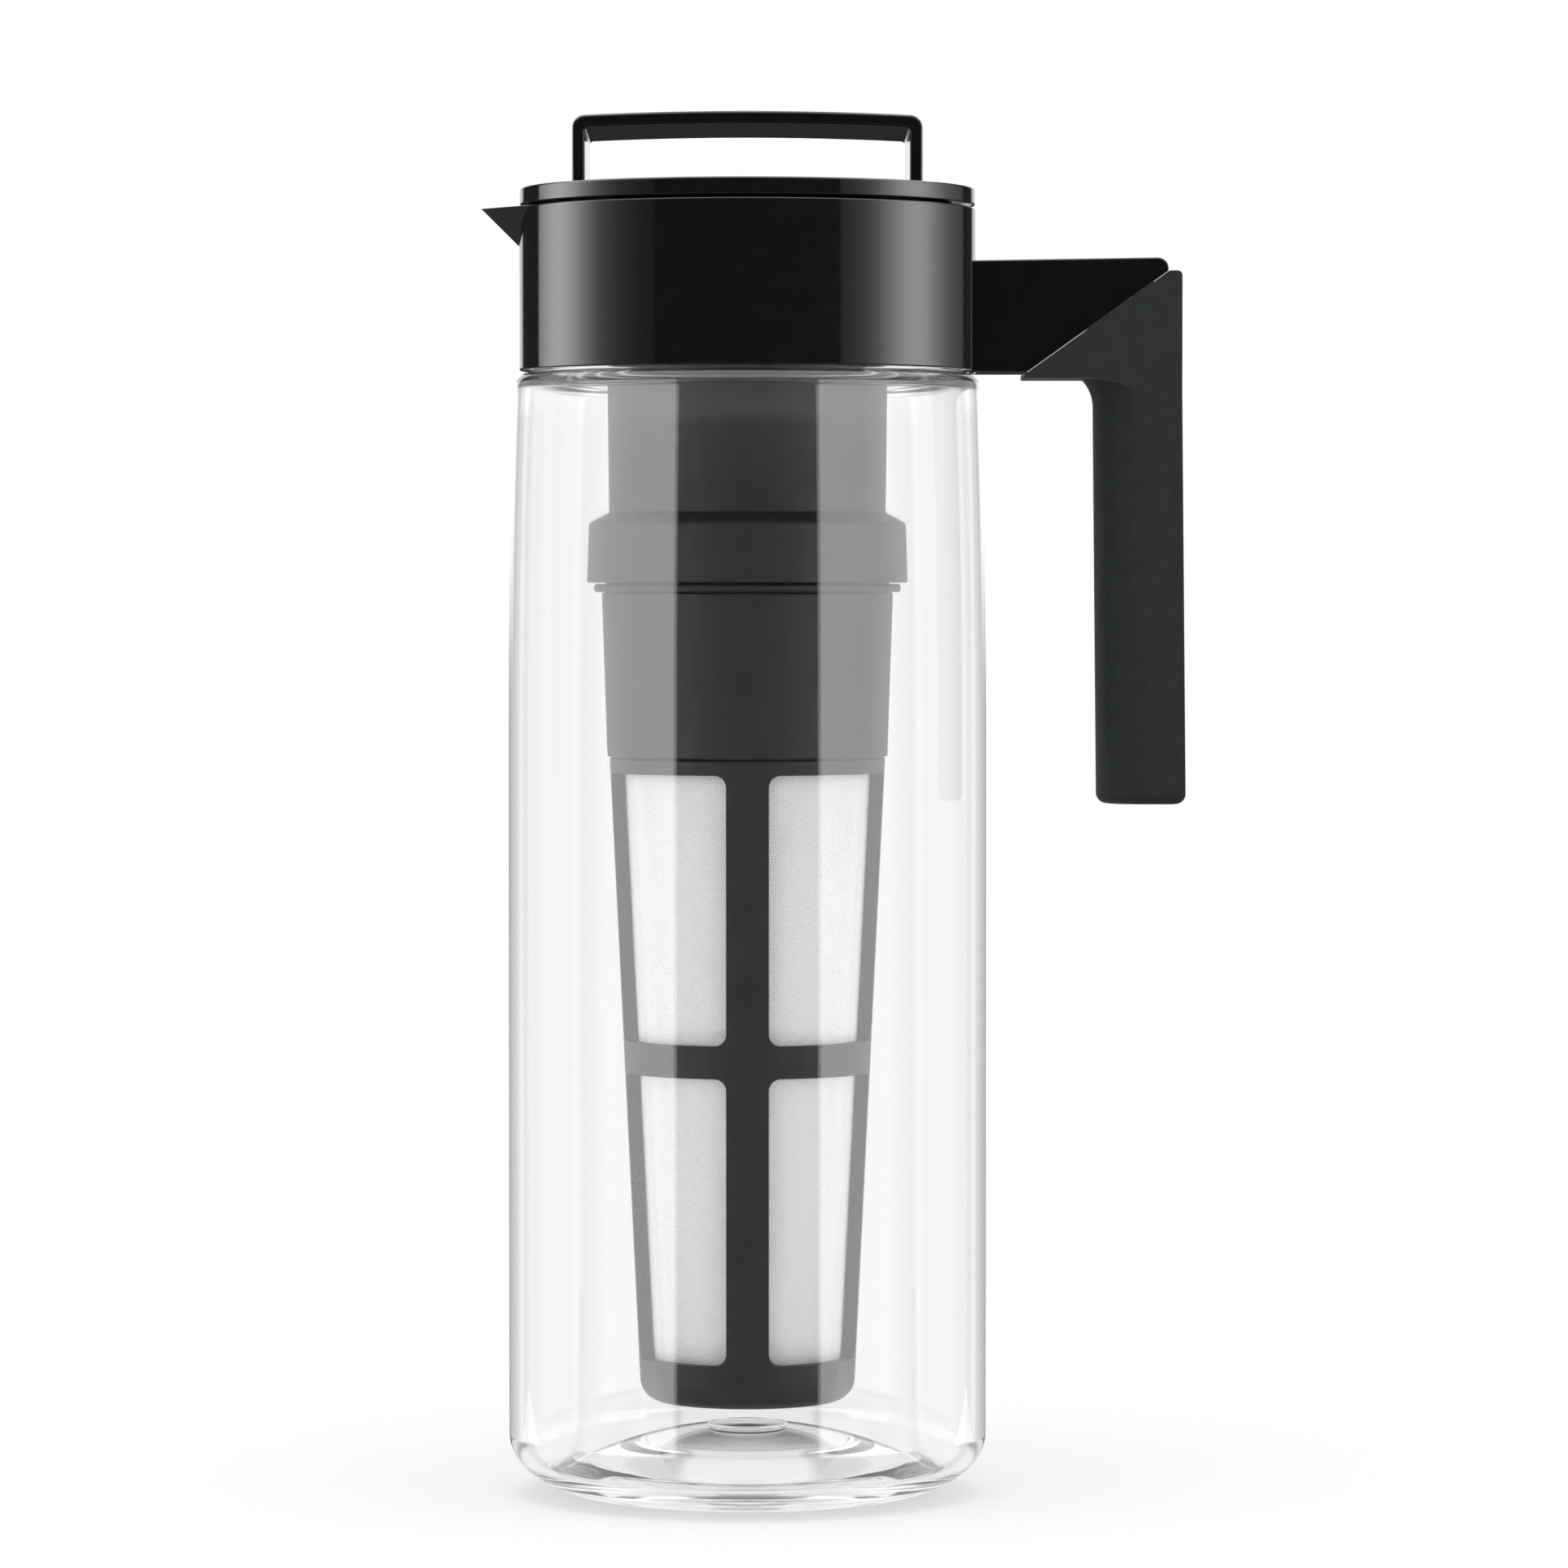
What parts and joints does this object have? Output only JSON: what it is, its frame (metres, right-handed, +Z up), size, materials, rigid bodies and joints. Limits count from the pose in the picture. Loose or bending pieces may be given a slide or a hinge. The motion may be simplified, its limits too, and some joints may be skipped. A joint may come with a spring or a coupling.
{
  "type": "iced tea pitcher",
  "caption": "Clear plastic pitcher with a black collar, V spout, side handle, twist lid with a strap handle, and a mesh infuser basket that hangs from the lid.",
  "frame": {"origin": "middle of the bounding box at the surface the jug stands on", "axes": "+Z up along the jug, +X towards the handle, -X towards the spout, +Y to the back"},
  "size_m": [0.1528, 0.104, 0.2996],
  "materials": {
    "clear": "clear and polished",
    "gloss_black": "high gloss",
    "soft_grey": "matte soft touch",
    "satin_grey": "satin",
    "weave": "fine woven mesh",
    "silicone": "matte",
    "steel": "plain"
  },
  "bodies": {
    "jug": {"jug_body": "clear", "neck_gasket": "silicone", "collar": "gloss_black", "handle_arm": "gloss_black", "handle_screw_front": "steel", "handle_screw_back": "steel", "handle_grip": "soft_grey"},
    "lid_seal": {"lid_o_ring": "silicone"},
    "lid": {"lid_cap": "gloss_black", "lid_handle": "gloss_black", "lid_plug": "satin_grey", "lid_gasket": "silicone", "extension_o_ring": "silicone"},
    "extension": {"infuser_extension": "satin_grey"},
    "infuser": {"infuser_ring": "satin_grey", "infuser_gasket": "satin_grey", "infuser_frame": "satin_grey", "mesh_front_left": "weave", "mesh_front_right": "weave", "mesh_back_right": "weave", "mesh_back_left": "weave"}
  },
  "joints": [
    {"name": "lid_lift", "type": "slide", "parent": "jug", "child": "lid_seal", "axis": [0, 0, 1], "range_m": [0, 0.27]},
    {"name": "lid_twist", "type": "hinge", "parent": "lid_seal", "child": "lid", "pos_m": [-0.0186, 0, 0.2632], "axis": [0, 0, 1], "range_deg": [-90, 0]},
    {"name": "extension_twist", "type": "hinge", "parent": "lid", "child": "extension", "pos_m": [-0.0186, 0, 0.2572], "axis": [0, 0, 1], "range_deg": [0, 35]},
    {"name": "infuser_twist", "type": "hinge", "parent": "extension", "child": "infuser", "pos_m": [-0.0186, 0, 0.2012], "axis": [0, 0, 1], "range_deg": [0, 40]}
  ]
}
